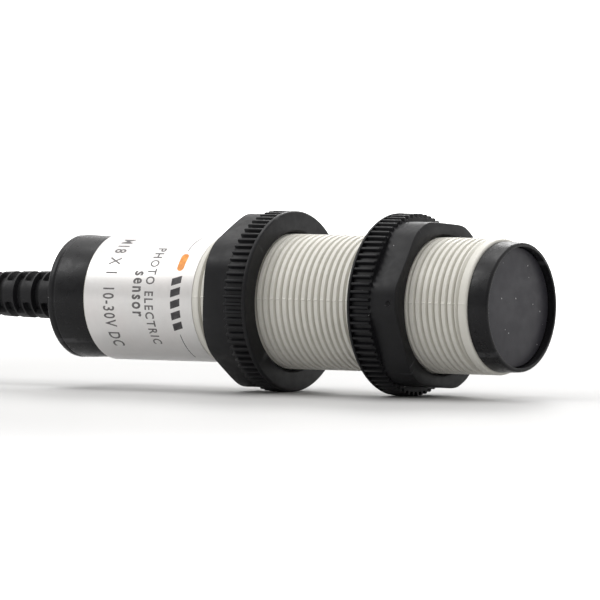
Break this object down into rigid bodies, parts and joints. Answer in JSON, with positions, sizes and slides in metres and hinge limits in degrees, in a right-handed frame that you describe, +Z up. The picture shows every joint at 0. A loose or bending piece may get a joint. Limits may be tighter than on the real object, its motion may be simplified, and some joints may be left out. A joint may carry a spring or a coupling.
{
  "type": "photoelectric sensor",
  "caption": "Cylindrical photoelectric sensor: threaded light plastic barrel with toothed clamping nuts, dark front window, black rear cap and a folded, tied pre-wired cable.",
  "frame": {"origin": "on the surface the sensor lies on, under its axis, halfway between the optical face and the tip of the strain relief", "axes": "+X along the sensor's axis towards the optical face, +Z up from the surface, +Y to the left seen from behind; the axis is 12 mm above the origin"},
  "size_m": [0.229, 0.036, 0.024],
  "materials": {
    "barrel_plastic": "satin moulded",
    "black_plastic": "satin moulded",
    "nut_plastic": "fine matt moulded",
    "relief_plastic": "soft matt",
    "filter_plastic": "satin",
    "label_foil": "satin foil",
    "seal_rubber": "matt",
    "lens_plastic": "clear",
    "emitter_tint": "gloss",
    "detector_black": "gloss",
    "board_green": "solder mask",
    "chip_package": "matt",
    "can_metal": "bright",
    "led_red": "diffused",
    "trimmer_blue": "moulded",
    "screw_brass": "turned",
    "cable_jacket": "satin PVC",
    "tie_plastic": "satin",
    "core_brown": "satin PVC",
    "core_black": "satin PVC",
    "core_blue": "satin PVC"
  },
  "bodies": {
    "sensor": {"barrel": "barrel_plastic", "front_bezel": "black_plastic", "filter_window": "filter_plastic", "type_label": "label_foil", "rear_cap": "black_plastic", "strain_relief": "relief_plastic", "front_seal": "seal_rubber", "rear_seal": "seal_rubber", "optics_holder": "chip_package", "emitter_lens": "lens_plastic", "receiver_lens": "lens_plastic", "infrared_emitter": "emitter_tint", "photodiode": "detector_black", "optics_board": "board_green", "main_board": "board_green", "board_connector": "chip_package", "amplifier_chip": "chip_package", "voltage_regulator": "chip_package", "output_transistor": "chip_package", "protection_diode": "chip_package", "smoothing_capacitor": "can_metal", "indicator_led": "led_red", "indicator_lens": "lens_plastic", "trimmer_body": "trimmer_blue", "core_brown": "core_brown", "core_black": "core_black", "core_blue": "core_blue", "cable_run": "cable_jacket", "cable_coil": "cable_jacket", "coil_tie": "tie_plastic", "lead_brown": "core_brown", "lead_black": "core_black", "lead_blue": "core_blue"},
    "front_clamp_washer": {"front_nut_washer": "nut_plastic"},
    "front_clamp_nut": {"front_nut": "nut_plastic"},
    "rear_clamp_washer": {"rear_nut_washer": "nut_plastic"},
    "rear_clamp_nut": {"rear_nut": "nut_plastic"},
    "trimmer": {"trimmer_screw": "screw_brass"}
  },
  "joints": [
    {"name": "front_nut_advance", "type": "slide", "parent": "sensor", "child": "front_clamp_washer", "axis": [1, 0, 0], "range_m": [-0.0078, 0.0078]},
    {"name": "front_nut_turn", "type": "hinge", "parent": "front_clamp_washer", "child": "front_clamp_nut", "pos_m": [0, 0, 0.012], "axis": [1, 0, 0], "range_deg": [-2790, 2790]},
    {"name": "rear_nut_advance", "type": "slide", "parent": "sensor", "child": "rear_clamp_washer", "axis": [1, 0, 0], "range_m": [-0.003, 0.0078]},
    {"name": "rear_nut_turn", "type": "hinge", "parent": "rear_clamp_washer", "child": "rear_clamp_nut", "pos_m": [0, 0, 0.012], "axis": [1, 0, 0], "range_deg": [-1062, 2790]},
    {"name": "trimmer_turn", "type": "hinge", "parent": "sensor", "child": "trimmer", "pos_m": [-0.023, -0.0054, 0.012], "axis": [1, 0, 0], "range_deg": [-135, 135]}
  ],
  "couplings": [
    {"joint": "front_nut_advance", "follows": "front_nut_turn", "m_per_rad": 0.00015915},
    {"joint": "rear_nut_advance", "follows": "rear_nut_turn", "m_per_rad": 0.00015915}
  ]
}
